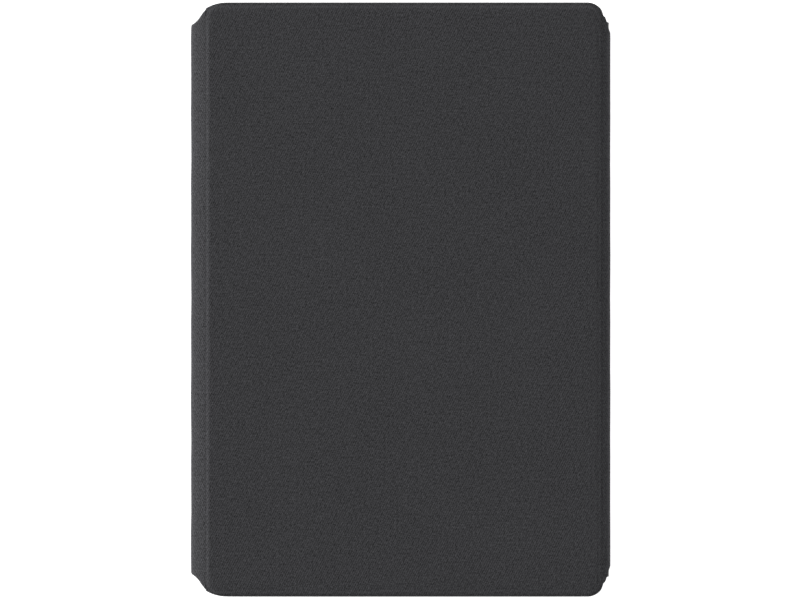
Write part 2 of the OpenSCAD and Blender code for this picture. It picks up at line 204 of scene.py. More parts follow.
class Finish:
    """A material, or the world's light, whose nodes are added one call at a time."""

    def __init__(self, name, world=False):
        self.owner = (bpy.data.worlds if world else bpy.data.materials).new(name)
        self.owner.use_nodes = True
        self.tree = self.owner.node_tree
        self.shader = self.tree.nodes["Background" if world else "Principled BSDF"]

    def node(self, kind, settings=None, inputs=None, output=0):
        """Adds a node; its settings come first, then its sockets, by name or number."""
        made = self.tree.nodes.new("ShaderNode" + kind)
        for name, value in (settings or {}).items():
            setattr(made, name, value)
        for name, value in (inputs or {}).items():
            self.feed(made.inputs[name], value)
        return Value(self, made.outputs[output])

    def feed(self, socket, value):
        if isinstance(value, Value):
            self.tree.links.new(value.socket, socket)
        else:
            socket.default_value = value

    def surface(self, **inputs):
        """Sets the shader's sockets; a name's underscores stand for spaces."""
        for name, value in inputs.items():
            self.feed(self.shader.inputs[name.replace("_", " ")], value)
        return self.owner

    def axes(self, vector):
        """The three numbers of a vector."""
        return [self.node("SeparateXYZ", inputs={0: vector}, output=i) for i in range(3)]

    def place(self):
        """Where a point is on its own piece, in metres."""
        return self.node("TexCoord", output=3)

    def noise(self, vector, scale, detail=2, roughness=0.5, stretch=None):
        """Soft noise from 0 to 1; stretch makes it longer along an axis."""
        if stretch:
            vector = self.node("VectorMath", {"operation": "MULTIPLY"}, {0: vector, 1: stretch})
        inputs = {"Vector": vector, "Scale": scale, "Detail": detail, "Roughness": roughness}
        return self.node("TexNoise", inputs=inputs)

    def between(self, factor, first, second):
        """A colour between two colours."""
        mix = self.tree.nodes.new("ShaderNodeMix")
        mix.data_type = "RGBA"
        for socket, value in zip((mix.inputs[0], mix.inputs[6], mix.inputs[7]), (factor, first, second)):
            self.feed(socket, value)
        return Value(self, mix.outputs[2])

    def bump(self, height, distance, strength, normal=None):
        """A normal that follows a height, on top of another normal if one is given."""
        inputs = {"Height": height, "Distance": distance, "Strength": strength}
        if normal:
            inputs["Normal"] = normal
        return self.node("Bump", inputs=inputs)


def grey(level, blue=0.0):
    """A colour with its three parts close together, and a little more blue if asked."""
    return (level, level, level * (1 + blue), 1)


# %% [markdown]
# ## Woven cloth
#
# The outer cloth is a steep twill: warp threads float over several weft threads, and each float starts
# two threads higher than its neighbour's, so the floats line up in steep diagonal ribs. The pattern is
# drawn on flat coordinates, which are stored with each piece as it is built, so ribs run over a fold
# without a jump. The threads are about a third of a millimetre wide, and each has its own slight shade,
# as mixed yarn has. Just inside a board's edge, where the cloth is pulled over it, the cloth is painted
# paler, as wear and as a painted highlight on the ridge there, and the crease beside it is painted
# darker, as painted shade. The pieces carry that as a number on their points.

# %% Woven cloth
THREAD = 0.317 * MM
REPEAT = 6
FLOAT_SHARE = 0.66
WEAVE = "flat_cloth"
WEAR_AND_PAINTED_LIGHT = "worn"


def woven_cloth():
    f = Finish("charcoal twill")
    flat = f.node("UVMap", {"uv_map": WEAVE})
    wander = f.noise(flat, 90, 2)
    across, along, _ = f.axes(flat)
    across = across + (wander - 0.5) * (0.25 * MM)
    along = along + (wander - 0.5) * (0.5 * MM)
    warp = across / THREAD
    thread = warp.floor()
    round_warp = 1 - ((warp.fract() - 0.5) * 2) ** 2
    run = ((along / THREAD - thread * 2) / REPEAT).fract()
    over = (run / FLOAT_SHARE).clamped()
    float_height = (over * math.pi).sine().at_least(0) ** 0.5
    height = float_height * (round_warp * 0.5 + 0.5)
    rib_phase = (across * 2 - along) / (REPEAT * THREAD)
    rib = (rib_phase * (2 * math.pi)).sine() * 0.5 + 0.5
    yarn = f.noise(flat, 1, 2, stretch=(1 / THREAD * 0.9, 220, 1))
    mottle = f.noise(flat, 260, 3, 0.6)
    cloud = f.noise(flat, 26, 2)
    slub = f.noise(flat, 1100, 2, 0.9)
    ribs = 0.38 * rib * (0.55 + 0.45 * height)
    uneven = 1.4 * (slub - 0.5) + 0.25 * (yarn - 0.5)
    uneven = uneven + 0.16 * (mottle - 0.5) + 0.08 * (cloud - 0.5)
    # Painted shade in the crease by a board's edge, and a paler band of wear and painted highlight on the
    # ridge inside it.
    worn = f.node("Attribute", {"attribute_name": WEAR_AND_PAINTED_LIGHT}, output=2)
    shade = (0.30 + ribs + uneven + 0.12 * worn).clamped()
    colour = f.between(shade, grey(0.005, 0.08), grey(0.086, 0.07))
    relief = height * 0.6 + rib * 0.7 + mottle * 0.35
    fuzz = f.bump(f.noise(flat, 5200, 2, 0.7), 0.03 * MM, 0.35)
    return f.surface(Base_Color=colour, Roughness=0.84 + 0.12 * mottle, Sheen_Weight=0.1,
                     Sheen_Roughness=0.42, Sheen_Tint=(0.9, 0.92, 1, 1), Specular_IOR_Level=0.12,
                     Normal=f.bump(relief, 0.10 * MM, 0.7, fuzz))


cloth_finish = woven_cloth()
print("cloth finish has", len(cloth_finish.node_tree.nodes), "nodes")

# %% [markdown]
# ## Soft lining
#
# The inside faces a screen, so it is a brushed microfibre. Its nap is too fine to model; it shows as a
# soft, cloudy change of shade where the fibres have been stroked one way or the other, with a high
# roughness and a little sheen.

# %% Soft lining


def soft_lining():
    f = Finish("microfibre")
    place = f.place()
    strokes = f.noise(place, 34, 3, 0.6, stretch=(1, 0.35, 1))
    nap = f.noise(place, 2600, 3, 0.7)
    shade = (0.55 * strokes + 0.45 * nap).clamped()
    colour = f.between(shade, grey(0.014, 0.04), grey(0.047, 0.05))
    return f.surface(Base_Color=colour, Roughness=0.86 + 0.1 * nap, Sheen_Weight=0.25, Sheen_Roughness=0.5,
                     Specular_IOR_Level=0.2, Normal=f.bump(nap, 0.05 * MM, 0.7))


lining_finish = soft_lining()
print("lining finish has", len(lining_finish.node_tree.nodes), "nodes")

# %% [markdown]
# ## Plastics, rubber and metal
#
# Moulded plastic carries the fine pitted texture of its mould, and its gloss changes slowly from place to
# place where hands have polished it. Keycaps are finer and a little glossier than the shell. Metal is
# drawn with long thin scratches along the way it was rolled.

# %% Plastics, rubber and metal


def moulded(name, dark, light, roughness, grain, depth):
    """A moulded material: a pitted surface and a slow change of gloss."""
    f = Finish(name)
    place = f.place()
    pits = f.noise(place, grain, 3, 0.65)
    patch = f.noise(place, 45, 3, 0.55)
    colour = f.between((0.5 * pits + 0.5 * patch).clamped(), dark, light)
    return f.surface(Base_Color=colour, Roughness=roughness + 0.14 * (patch - 0.5) + 0.08 * (pits - 0.5),
                     Specular_IOR_Level=0.42, Normal=f.bump(pits, depth * MM, 0.8))


def brushed_metal(name, dark, light, roughness, stretch):
    """A rolled or brushed metal, with fine scratches along one axis."""
    f = Finish(name)
    place = f.place()
    scratches = f.noise(place, 260, 4, 0.7, stretch=stretch)
    stain = f.noise(place, 60, 2)
    colour = f.between((0.6 * scratches + 0.4 * stain).clamped(), dark, light)
    return f.surface(Base_Color=colour, Metallic=1.0, Roughness=roughness + 0.2 * (scratches - 0.5),
                     Normal=f.bump(scratches, 0.01 * MM, 0.6))


finishes = {
    "woven_fabric": cloth_finish,
    "suede_lining": lining_finish,
    "board": moulded("grey board", grey(0.20), grey(0.32), 0.8, 900, 0.05),
    "steel": brushed_metal("spring steel", grey(0.38, 0.02), grey(0.62, 0.02), 0.32, (1, 12, 1)),
    "coated_steel": moulded("powder coat", grey(0.016, 0.05), grey(0.03, 0.05), 0.46, 2400, 0.025),
    "magnet": brushed_metal("nickel plate", grey(0.5), grey(0.66), 0.22, (4, 4, 4)),
    "shell_plastic": moulded("shell plastic", grey(0.012, 0.06), grey(0.024, 0.06), 0.52, 3400, 0.03),
    "key_plastic": moulded("key plastic", grey(0.009, 0.06), grey(0.017, 0.06), 0.4, 5200, 0.012),
    "soft_rubber": moulded("rubber", grey(0.008), grey(0.016), 0.7, 1800, 0.02),
    "film": moulded("contact film", (0.5, 0.48, 0.38, 1), (0.62, 0.6, 0.5, 1), 0.35, 300, 0.005),
    "battery_foil": brushed_metal("battery foil", grey(0.42), grey(0.55), 0.38, (1, 1, 1)),
    "circuit_board": moulded("solder mask", (0.008, 0.05, 0.028, 1), (0.02, 0.10, 0.05, 1), 0.35, 700,
                             0.01),
    "touch_surface": moulded("touch surface", grey(0.016, 0.05), grey(0.022, 0.05), 0.34, 6000, 0.006),
}


def light_lens():
    """The frosted ends of the light pipes, with a faint painted glow that makes them a little brighter
    than the deck.
    """
    f = Finish("light lens")
    frost = f.between(f.noise(f.place(), 4000, 2), (0.55, 0.62, 0.66, 1), (0.75, 0.82, 0.86, 1))
    return f.surface(Base_Color=frost, Roughness=0.3, Emission_Color=(0.55, 0.8, 1.0, 1),
                     Emission_Strength=0.25)


finishes["light_lens"] = light_lens()


def paint_nodes():
    """Gives every CAD node the finish of its material slot."""
    for row in frame["record"]["subparts"]:
        mesh = nodes[row["node"]].data
        mesh.materials.clear()
        mesh.materials.append(finishes[row["material_slot"]])


paint_nodes()
print("finishes:", len(finishes))

# %% [markdown]
# ## A sheet of cloth from its flat pattern
#
# Cloth that covers a board is cut as a flat shape and bent round. So each cloth is built the same way:
# a profile, seen from the end of the case, says how it bends, and a half width says how far it reaches
# at each place along that profile. `Profile` measures the profile, so a place along it is a length in
# the flat cloth.

# %% Profiles


class Profile:
    """A line in X and Z, with its length measured. The cloth's outer side is on the left of its way."""

    def __init__(self, points, start=0.0, end=None):
        self.points = np.array(points, float)
        steps = np.linalg.norm(np.diff(self.points, axis=0), axis=1)
        run = np.concatenate([[0], np.cumsum(steps)])
        self.length = run + (start if end is None else end - run[-1])
        self.first, self.last = self.length[0], self.length[-1]

    def at(self, s):
        """The points, as X and Z, at these lengths."""
        return np.stack([np.interp(s, self.length, self.points[:, i]) for i in (0, 1)], axis=-1)

    def outward(self, s):
        """The directions that point out of the cloth at these lengths."""
        reach = 0.15 * MM
        along = self.at(np.minimum(s + reach, self.last)) - self.at(np.maximum(s - reach, self.first))
        along /= np.linalg.norm(along, axis=-1, keepdims=True)
        return np.stack([-along[..., 1], along[..., 0]], axis=-1)


def quarter(start, end, upright_first, steps=20):
    """A quarter of an ellipse, without its start. It sets off along Z if upright_first, else along X."""
    angles = np.linspace(0, math.pi / 2, steps + 1)[1:]
    ways = (1 - np.cos(angles), np.sin(angles))
    across, up = ways if upright_first else ways[::-1]
    return [(start[0] + (end[0] - start[0]) * u, start[1] + (end[1] - start[1]) * v)
            for u, v in zip(across, up)]


SHOULDER_SLOPE = math.radians(23)
SHOULDER_FACE = 4.2 * MM
SHOULDER_EDGE = 2.9 * MM


def shoulder(start, end, steps=24):
    """The soft turn from the cover down to the spine, without its start: a slant, then a round edge."""
    near = (start[0] - SHOULDER_FACE * math.cos(SHOULDER_SLOPE),
            start[1] - SHOULDER_FACE * math.sin(SHOULDER_SLOPE))
    far = (end[0], end[1] + SHOULDER_EDGE)
    return [tuple((1 - t) ** 3 * a + 3 * t * (1 - t) ** 2 * b + 3 * t * t * (1 - t) * c + t ** 3 * d
                  for a, b, c, d in zip(start, near, far, end))
            for t in np.linspace(0, 1, steps + 1)[1:]]


# %% [markdown]
# ## The flat cloth as a grid
#
# A cloth starts flat, as a grid with one column for each place along its profile. Its rows crowd
# together near the border, where the cloth will be rounded over and needs more points.

# %% Flat grid
EDGE_LEVELS = np.array([0, 0.03, 0.09, 0.18, 0.32, 0.5, 0.75, 1.05, 1.4, 1.8, 2.2, 2.8, 4, 8]) * MM
ROWS_TO_MIDDLE = 11


def flat_grid(places, half):
    """Flat coordinates, one column for each place, with rows that crowd towards both sides."""
    columns = []
    for s in places:
        reach = float(half(s))
        inner = np.linspace(reach - EDGE_LEVELS[-1], 0, ROWS_TO_MIDDLE + 1)[1:]
        upper = np.concatenate([reach - EDGE_LEVELS, inner])
        rows = np.concatenate([-upper, upper[-2::-1]])
        columns.append(np.stack([np.full(len(rows), s), rows], axis=-1))
    return np.array(columns)


def once_round(grid):
    """The border points of a grid, in order."""
    return np.concatenate([grid[:-1, 0], grid[-1, :-1], grid[:0:-1, -1], grid[0, :0:-1]])


def distance_to(border, points):
    """How far each point is from a line of border points."""
    nearest = np.full(points.shape[:-1], np.inf)
    for a, b in zip(border[:-1], border[1:]):
        way = b - a
        share = np.clip(((points - a) @ way) / (way @ way), 0, 1)
        nearest = np.minimum(nearest, np.linalg.norm(points - a - share[..., None] * way, axis=-1))
    return nearest


def outward_of(loop):
    """The direction out of a closed loop at each of its points."""
    way = np.roll(loop, -1, axis=0) - np.roll(loop, 1, axis=0)
    out = np.stack([way[:, 1], -way[:, 0]], axis=-1)
    out /= np.linalg.norm(out, axis=1, keepdims=True)
    turn = np.sum(loop[:, 0] * np.roll(loop[:, 1], -1) - loop[:, 1] * np.roll(loop[:, 0], -1))
    return out * np.sign(turn)


# %% [markdown]
# ## From points to a piece
#
# Every built shape becomes a mesh in the same way. A cloth also stores its flat coordinates, as a UV map,
# and its wear with its painted highlight and painted shade, as an attribute, which is what the finish
# reads. An end that meets another cloth has sharp edges, so that its shading carries on straight into
# the next piece.

# %% A piece


def add_piece(name, points, faces, material, flat=None, worn=None, seam=()):
    """A smooth mesh object. seam holds the points of the ends that meet another cloth."""
    mesh = bpy.data.meshes.new(name)
    mesh.from_pydata([tuple(p) for p in points], [], [tuple(map(int, f)) for f in faces])
    if flat is not None:
        point_of = np.empty(len(mesh.loops), int)
        mesh.loops.foreach_get("vertex_index", point_of)
        layer = mesh.uv_layers.new(name=WEAVE)
        layer.data.foreach_set("uv", flat[point_of].astype(np.float32).ravel())
    mesh.materials.append(material)
    mesh.shade_smooth()
    # Each point's wear, painted highlight and painted shade, as one number.
    if worn is not None:
        mesh.attributes.new(WEAR_AND_PAINTED_LIGHT, "FLOAT", "POINT").data.foreach_set("value", worn.astype(np.float32))
    seam = set(map(int, seam))
    for edge in mesh.edges:
        edge.use_edge_sharp = seam.issuperset(edge.vertices)
    work = bmesh.new()
    work.from_mesh(mesh)
    bmesh.ops.recalc_face_normals(work, faces=work.faces)
    work.to_mesh(mesh)
    work.free()
    piece = bpy.data.objects.new(name, mesh)
    scene.collection.objects.link(piece)
    return piece


# %% [markdown]
# ## Bending and pressing
#
# A flat point is bent by moving along the profile and then down by its depth in the cloth. Soft
# stretches get slight waves, because cloth never hangs quite true. The stiff boards have edges of their
# own under the cloth. There the cloth is pressed down all round the board, which leaves a low ridge that
# follows the board's round corners and a crease beside the spine.

# %% Bending and pressing
PRESS_WIDTH = 2.5 * MM
PRESS_DEPTH = 0.7 * MM
PRESS_ROLL = 1.2


def waves(y, z):
    """Slight waves along the soft stretches, from -1 to 1."""
    return 0.45 * np.sin(210 * y + 1) + 0.3 * np.sin(97 * y + 140 * z) + 0.25 * np.sin(431 * y + 2)


def bent(profile, flat, depth, slack):
    """Flat coordinates bent along the profile, at a depth below its outer face."""
    place, out = profile.at(flat[..., 0]), profile.outward(flat[..., 0])
    soft = np.clip(1 - np.abs(out[..., 1]), 0, 1) ** 0.5
    depth = depth + slack * soft * waves(flat[..., 1], place[..., 1])
    x, z = (place - out * depth[..., None]).transpose(-1, *range(place.ndim - 1))
    return np.stack([x, flat[..., 1], z], axis=-1)


def inside_board(board, x, y):
    """How far each point is inside a board's outline: its lowest X, highest X, half length and radius."""
    x0, x1, half, r = board
    across = np.abs(x - (x0 + x1) / 2) - ((x1 - x0) / 2 - r)
    along = np.abs(y) - (half - r)
    past_corner = np.hypot(np.clip(across, 0, None), np.clip(along, 0, None))
    return r - past_corner - np.minimum(np.maximum(across, along), 0)


def pressed(inside):
    """How deep the cloth is pressed, from its full depth at the board's edge to nothing inside it."""
    share = np.clip(1 - inside / PRESS_WIDTH, 0, 1)
    return PRESS_DEPTH * share ** 2 * (1 + PRESS_ROLL * (1 - share))


# %% [markdown]
# ## Building one cloth
#
# How far a point drops below the face depends only on its distance from the free border, measured in the
# flat cloth, so corners come out as round as straight edges. The inner face is the same grid, set in by
# the tuck, and a rim joins the two. An end where another cloth carries on is left square.

# %% Cloth builder
# A band of wear and painted highlight on the ridge inside a board's edge, and painted shade in the crease
# at the edge.
WEAR_AND_HIGHLIGHT_FROM_EDGE = 1.1 * MM
WEAR_AND_HIGHLIGHT_WIDTH = 0.6 * MM
CREASE_WIDTH = 0.5 * MM
CREASE_PAINTED_SHADE = 0.5


def make_cloth(name, profile, places, half, thickness, edge, tuck, inset, finish, open_end=None, slack=0.0,
               board=None):
    """A closed sheet. edge, tuck and inset are lengths at each place; open_end has a border of its own.

    board is the outline of the board whose edge shows through the cloth."""
    outer = flat_grid(places, half)
    ends = [places[0], places[-1]]
    inner_ends = [ends[0] + inset(ends[0]) * (open_end == "start"),
                  ends[1] - inset(ends[1]) * (open_end == "end")]
    inner = flat_grid(np.interp(places, ends, inner_ends), lambda s: half(s) - inset(s))
    borders = [outer[:, 0], outer[:, -1]] + {"start": [outer[0]], "end": [outer[-1]]}.get(open_end, [])
    distance = np.min([distance_to(border, outer) for border in borders], axis=0)
    radius = edge(outer[..., 0])
    within = np.clip(radius - distance, 0, None)
    drop = radius - np.sqrt(radius ** 2 - within ** 2)
    inside = inside_board(board, profile.at(outer[..., 0])[..., 0], outer[..., 1]) if board else np.inf
    press = pressed(inside) * profile.outward(outer[..., 0])[..., 1] ** 2
    face = bent(profile, outer, drop + press, slack)
    back = bent(profile, inner, thickness + press, slack)

    columns, rows = outer.shape[:2]
    seam = np.zeros((columns, rows), bool)
    if open_end != "start":
        seam[0] = True
    if open_end != "end":
        seam[-1] = True
    seam[:, [0, -1]] = False
    seam = once_round(seam)
    out_loop, in_loop = once_round(outer), once_round(inner)
    depth = tuck(out_loop[:, 0])
    rings = [bent(profile, out_loop, depth, slack), bent(profile, in_loop, depth, slack)]
    top, bottom = once_round(face), once_round(back)
    for share, ring in zip((1 / 3, 2 / 3), rings):
        ring[seam] = (top + (bottom - top) * share)[seam]

    count, ring_count = columns * rows, len(out_loop)
    index = np.arange(count).reshape(columns, rows)
    quads = np.stack([index[:-1, :-1], index[1:, :-1], index[1:, 1:], index[:-1, 1:]], -1).reshape(-1, 4)
    border = once_round(index)
    lines = [border, 2 * count + np.arange(ring_count), 2 * count + ring_count + np.arange(ring_count),
             border + count]
    rim = [np.stack([a, np.roll(a, -1), np.roll(b, -1), b], -1) for a, b in zip(lines[:-1], lines[1:])]
    faces = np.concatenate([quads, quads[:, ::-1] + count, *rim])
    out_way = outward_of(out_loop)
    flat = np.concatenate([outer.reshape(-1, 2), inner.reshape(-1, 2), out_loop + out_way * depth[:, None],
                           out_loop + out_way * (depth + inset(out_loop[:, 0]))[:, None]])
    points = np.concatenate([face.reshape(-1, 3), back.reshape(-1, 3), *rings])
    # Paler on the ridge inside the board's edge, as wear and a painted highlight; darker in the crease at
    # the edge, as painted shade.
    wear_and_ridge_highlight = np.exp(-((inside - WEAR_AND_HIGHLIGHT_FROM_EDGE) / WEAR_AND_HIGHLIGHT_WIDTH) ** 2)
    dark = CREASE_PAINTED_SHADE * np.exp(-(inside / CREASE_WIDTH) ** 2)
    wear_and_painted_light_grid = (wear_and_ridge_highlight - dark) * np.ones((columns, rows))
    worn = np.concatenate([wear_and_painted_light_grid.ravel(), np.zeros(len(points) - count)])
    ends = np.concatenate([index[0] if open_end != "start" else [],
                           index[-1] if open_end != "end" else []])
    piece = add_piece(name, points, faces, finish, flat, worn, np.concatenate([ends, ends + count]))
    print(name, "has", len(points), "points")
    return piece


# %% [markdown]
# ## The flat size of each cloth
#
# A covered board's cloth was cut a little larger than the board, so that it reaches round the edge. Its
# flat size is the length of its profile and its full width, with what is tucked in on both sides.

# %% Flat size of a cloth


def steady(value):
    """A length that is the same at every place."""
    return lambda s: np.full(np.shape(s), float(value))


def declare_cloth(piece, profile, half, turned_in):
    """Prints the flat size of a cloth."""
    places = np.linspace(profile.first, profile.last, 400)
    widths = 2 * (half(places) + turned_in)
    span = profile.last - profile.first
    area = float(widths.mean() * span)
    print(piece.name, "flat, mm:", round(span / MM, 1), "by", round(float(widths.max()) / MM, 1))


def spaced(*stretches):
    """Places along a profile, from (start, end, step) stretches that follow each other."""
    parts = [np.linspace(a, b, max(2, round(abs(b - a) / step) + 1))[:-1] for a, b, step in stretches]
    return np.concatenate(parts + [[stretches[-1][1]]])


# %% [markdown]
# ## The outline of the case
#
# Seen from above, the covers have round corners. At the spine the cloth is cut back along a slant, so
# that it does not bunch up when the case folds. At the closing side it steps in twice: once to the
# flap's lining and once to the flap's cloth.

# %% Outline from above
FLAP_CORNER = 7 * MM
SPINE_CORNER = 17 * MM
SPINE_CORNER_X = spine_x + 15.1 * MM
FLAP_CORNER_X = flap_x - 9.6 * MM
corner_end_x = spine_x + 24 * MM


def arc(centre_x, radius, start, end, steps=12):
    """Points of the outline on an arc that touches the case's end."""
    centre_y = half_length - radius
    return [(centre_x + radius * math.cos(a), centre_y + radius * math.sin(a))
            for a in np.radians(np.linspace(start, end, steps + 1))]


spine_cut = [(spine_x, spine_end), (spine_x + 1.4 * MM, spine_end + 1.0 * MM),
             (spine_x + 2.6 * MM, spine_end + 2.2 * MM), (spine_x + 3.7 * MM, spine_end + 3.7 * MM)]
flap_steps = [(flap_x - 1.9 * MM, half_length - 6.2 * MM), (flap_x - 1.2 * MM, half_length - 7.9 * MM),
              (flap_x - 0.5 * MM, flap_end + 1.8 * MM), (flap_x, flap_end)]
outline = np.array(spine_cut + arc(SPINE_CORNER_X, SPINE_CORNER, 125, 90)
                   + arc(FLAP_CORNER_X, FLAP_CORNER, 90, 12) + flap_steps)


def reach_at(x):
    """Half the length of the front cover at X."""
    return np.interp(x, outline[:, 0], outline[:, 1])


print("outline has", len(outline), "points")

# %% [markdown]
# ## Front cloth
#
# From the closing side to the spine, the front cloth lies flat on the keyboard half, rolls down at the
# board's edge, pinches into a crease, and turns down in a soft shoulder to the spine. It ends halfway
# down the spine, where the back cloth carries on.

# %% Front cloth
PLATE_EDGE = 1.4 * MM
TUCK = 2.0 * MM
TURN_IN = 0.4 * MM
SLACK = 0.1 * MM
seam_x = 70 * MM
spine_crease_x = spine_x + 5.8 * MM
flap_crease_x = flap_x - 3.5 * MM
bend_x = spine_crease_x + 0.3 * MM
shoulder_z = 6.0 * MM
front_board = (spine_crease_x, flap_crease_x, half_length - 0.9 * MM, 6 * MM)

front_line = [(seam_x, top_z), (bend_x, top_z)]
front_line += shoulder((bend_x, top_z), (spine_x, top_z - shoulder_z)) + [(spine_x, middle_z)]
front_profile = Profile(front_line[::-1], end=seam_x)


def front_half(s):
    return reach_at(front_profile.at(s)[..., 0])


def front_places():
    """Columns close together round the shoulder, the crease and the corners."""
    first = front_profile.first
    shoulder = first + (middle_z - shoulder_z)
    pressed_end = spine_crease_x + PRESS_WIDTH
    return spaced((first, shoulder, 1.2 * MM), (shoulder, pressed_end, 0.3 * MM),
                  (pressed_end, corner_end_x, 0.9 * MM), (corner_end_x, seam_x, 6 * MM))


front_cloth = make_cloth("front_cloth", front_profile, front_places(), front_half, cloth_t,
                         steady(PLATE_EDGE), steady(TUCK), steady(TURN_IN), cloth_finish, slack=SLACK,
                         board=front_board)
declare_cloth(front_cloth, front_profile, front_half, TUCK)
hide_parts("front_skin")
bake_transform(front_cloth)

# %% [markdown]
# ## Flap cloth
#
# The same cloth carries on past a seamless line into the closing flap. It has its own crease, a
# tighter shoulder than the spine's, and a cut edge with round corners just above the table.

# %% Flap cloth
FLAP_TUCK = 0.6 * MM
plate_end_x = flap_crease_x - PRESS_WIDTH
flap_bend_x = flap_crease_x - 0.4 * MM
flap_shoulder_z = top_z - 3.9 * MM

flap_line = [(seam_x, top_z), (flap_bend_x, top_z)]
flap_line += quarter((flap_bend_x, top_z), (flap_x, flap_shoulder_z), False) + [(flap_x, flap_low[2])]
flap_profile = Profile(flap_line, start=seam_x)


def rounded_end(reach, to_end, radius):
    """A half width that rounds off towards the cloth's end."""
    short = np.clip(radius - to_end, 0, radius)
    return reach - radius + np.sqrt(radius ** 2 - short ** 2)


def flap_half(s):
    return rounded_end(reach_at(flap_profile.at(s)[..., 0]), flap_profile.last - s, 3 * MM)


def flap_edge(s):
    """The border is round on the plate and thinner on the flap."""
    return np.interp(s, [plate_end_x, flap_crease_x + 2 * MM], [PLATE_EDGE, 0.3 * MM])


def flap_tuck(s):
    return np.interp(s, [plate_end_x, flap_crease_x + 2 * MM], [TUCK, FLAP_TUCK])


flap_border = flap_profile.last - EDGE_LEVELS[::-1]
flap_places = np.concatenate([
    spaced((seam_x, plate_end_x - 6 * MM, 1.2 * MM), (plate_end_x - 6 * MM, flap_x + 2.2 * MM, 0.3 * MM),
           (flap_x + 2.2 * MM, flap_border[0], 1.5 * MM))[:-1], flap_border])
flap_cloth = make_cloth("flap_cloth", flap_profile, flap_places, flap_half, cloth_t, flap_edge, flap_tuck,
                        steady(TURN_IN), cloth_finish, "end", slack=0.7 * SLACK, board=front_board)
declare_cloth(flap_cloth, flap_profile, flap_half, FLAP_TUCK)
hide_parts("flap_skin")
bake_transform(flap_cloth)

# %% [markdown]
# ## Back cloth
#
# The back panel's cloth starts at the closing side, where it is tucked round the board. It lies flat on
# the table and turns up the spine to meet the front cloth. Its turn is tighter than the front's, because
# the tray's hinge stands close above it and cloth that opens flat must not lift into the hinge.

# %% Back cloth
back_x = corners("back_skin")[1][0]
bottom_z = low[2]
BACK_EDGE = 0.5 * MM
BACK_TUCK = 1.8 * MM
BACK_TURN = 4.4 * MM
back_line = [(back_x, bottom_z), (spine_x + BACK_TURN, bottom_z)]
back_line += quarter(back_line[-1], (spine_x, bottom_z + BACK_TURN), False) + [(spine_x, middle_z)]
back_profile = Profile(back_line, start=-back_x)


def back_half(s):
    """The back panel's outline: round corners at the closing side, then the front's outline."""
    x = back_profile.at(s)[..., 0]
    return np.minimum(reach_at(x), rounded_end(half_length, back_x - x, FLAP_CORNER))


def back_places():
    """Columns close together at the border, the corners and the fold."""
    corner = -back_x + EDGE_LEVELS
    fold_start = -bend_x - 1 * MM
    fold_end = back_profile.last - (middle_z - shoulder_z)
    return np.concatenate([corner[:-1], spaced((corner[-1], -corner_end_x, 6 * MM),
                                               (-corner_end_x, fold_start, 0.9 * MM),
                                               (fold_start, fold_end, 0.3 * MM),
                                               (fold_end, back_profile.last, 1.2 * MM))])


back_cloth = make_cloth("back_cloth", back_profile, back_places(), back_half, cloth_t, steady(BACK_EDGE),
                        steady(BACK_TUCK), steady(TURN_IN), cloth_finish, "start", slack=SLACK)
declare_cloth(back_cloth, back_profile, back_half, BACK_TUCK)
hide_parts("back_skin", "spine_skin")

# %% [markdown]
# ## The camera window
#
# A round window for the tablet's camera is punched through the back panel. It is cut with a boolean,
# which keeps the flat coordinates of the cloth around it. The cutter is a short many-sided rod that is
# deleted afterwards.

# %% Camera window
WINDOW_SIDES = 48
WINDOW_R = 7 * MM
CUT_DEPTH = 5 * MM
openings = frame["record"]["physics"]["openings"]
window = next(row for row in openings if row["name"] == "camera_window_back")
window_centre = [(a + b) / 2 for a, b in zip(*window["box_m"])][:2]


def cut_round(piece, centre, radius, z_low, z_high):
    """Cuts a round hole through a piece, along Z."""
    work = bmesh.new()
    bmesh.ops.create_cone(work, cap_ends=True, segments=WINDOW_SIDES, radius1=radius, radius2=radius,
                          depth=z_high - z_low)
    mesh = bpy.data.meshes.new("cutter")
    work.to_mesh(mesh)
    work.free()
    cutter = bpy.data.objects.new("cutter", mesh)
    cutter.location = (*centre, (z_low + z_high) / 2)
    scene.collection.objects.link(cutter)
    hole = piece.modifiers.new("hole", "BOOLEAN")
    hole.object = cutter
    hole.operation = "DIFFERENCE"
    hole.solver = "EXACT"
    bpy.context.view_layer.update()
    done = bpy.data.meshes.new_from_object(piece.evaluated_get(bpy.context.evaluated_depsgraph_get()))
    piece.modifiers.clear()
    piece.data = done
    bpy.data.objects.remove(cutter)


cut_round(back_cloth, window_centre, WINDOW_R, bottom_z - CUT_DEPTH, bottom_z + CUT_DEPTH)
print("back cloth with its window has", len(back_cloth.data.vertices), "points")

# %% [markdown]
# ## The inner face of the spine
#
# The back cloth's placement is baked into its points, and the X of the spine lining's inner face is read
# from its box. The back lining turns away from the spine there.

# %% Inner face of the spine
spine_face_x = corners("spine_lining")[1][0]
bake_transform(back_cloth)
print("fold starts at X, mm:", round(spine_face_x / MM, 2))

# %% [markdown]
# ## Lining of the back panel
#
# The soft lining covers the inside of the back panel, runs up the spine, and is tucked behind the
# keyboard half. It is one lining on the real case. Here it is two pieces that meet at the middle of the
# spine, because each piece may bend at one joint only.

# %% Lining of the back panel
lining_low, lining_high = corners("back_lining")
lining_t = lining_high[2] - lining_low[2]
LINING_TURN = 1.8 * MM
fold_inside_x = spine_face_x + LINING_TURN
spine_lining_half = corners("spine_lining")[1][1] - 0.3 * MM
LINING_EDGE = 0.25 * MM
LINING_TUCK = 0.45 * MM
LINING_INSET = 0.2 * MM

back_lining_line = [(spine_face_x, middle_z), (spine_face_x, lining_high[2] + LINING_TURN)]
back_lining_line += quarter(back_lining_line[-1], (fold_inside_x, lining_high[2]), True)
back_lining_line += [(lining_high[0], lining_high[2])]
back_lining_profile = Profile(back_lining_line, end=lining_high[0])


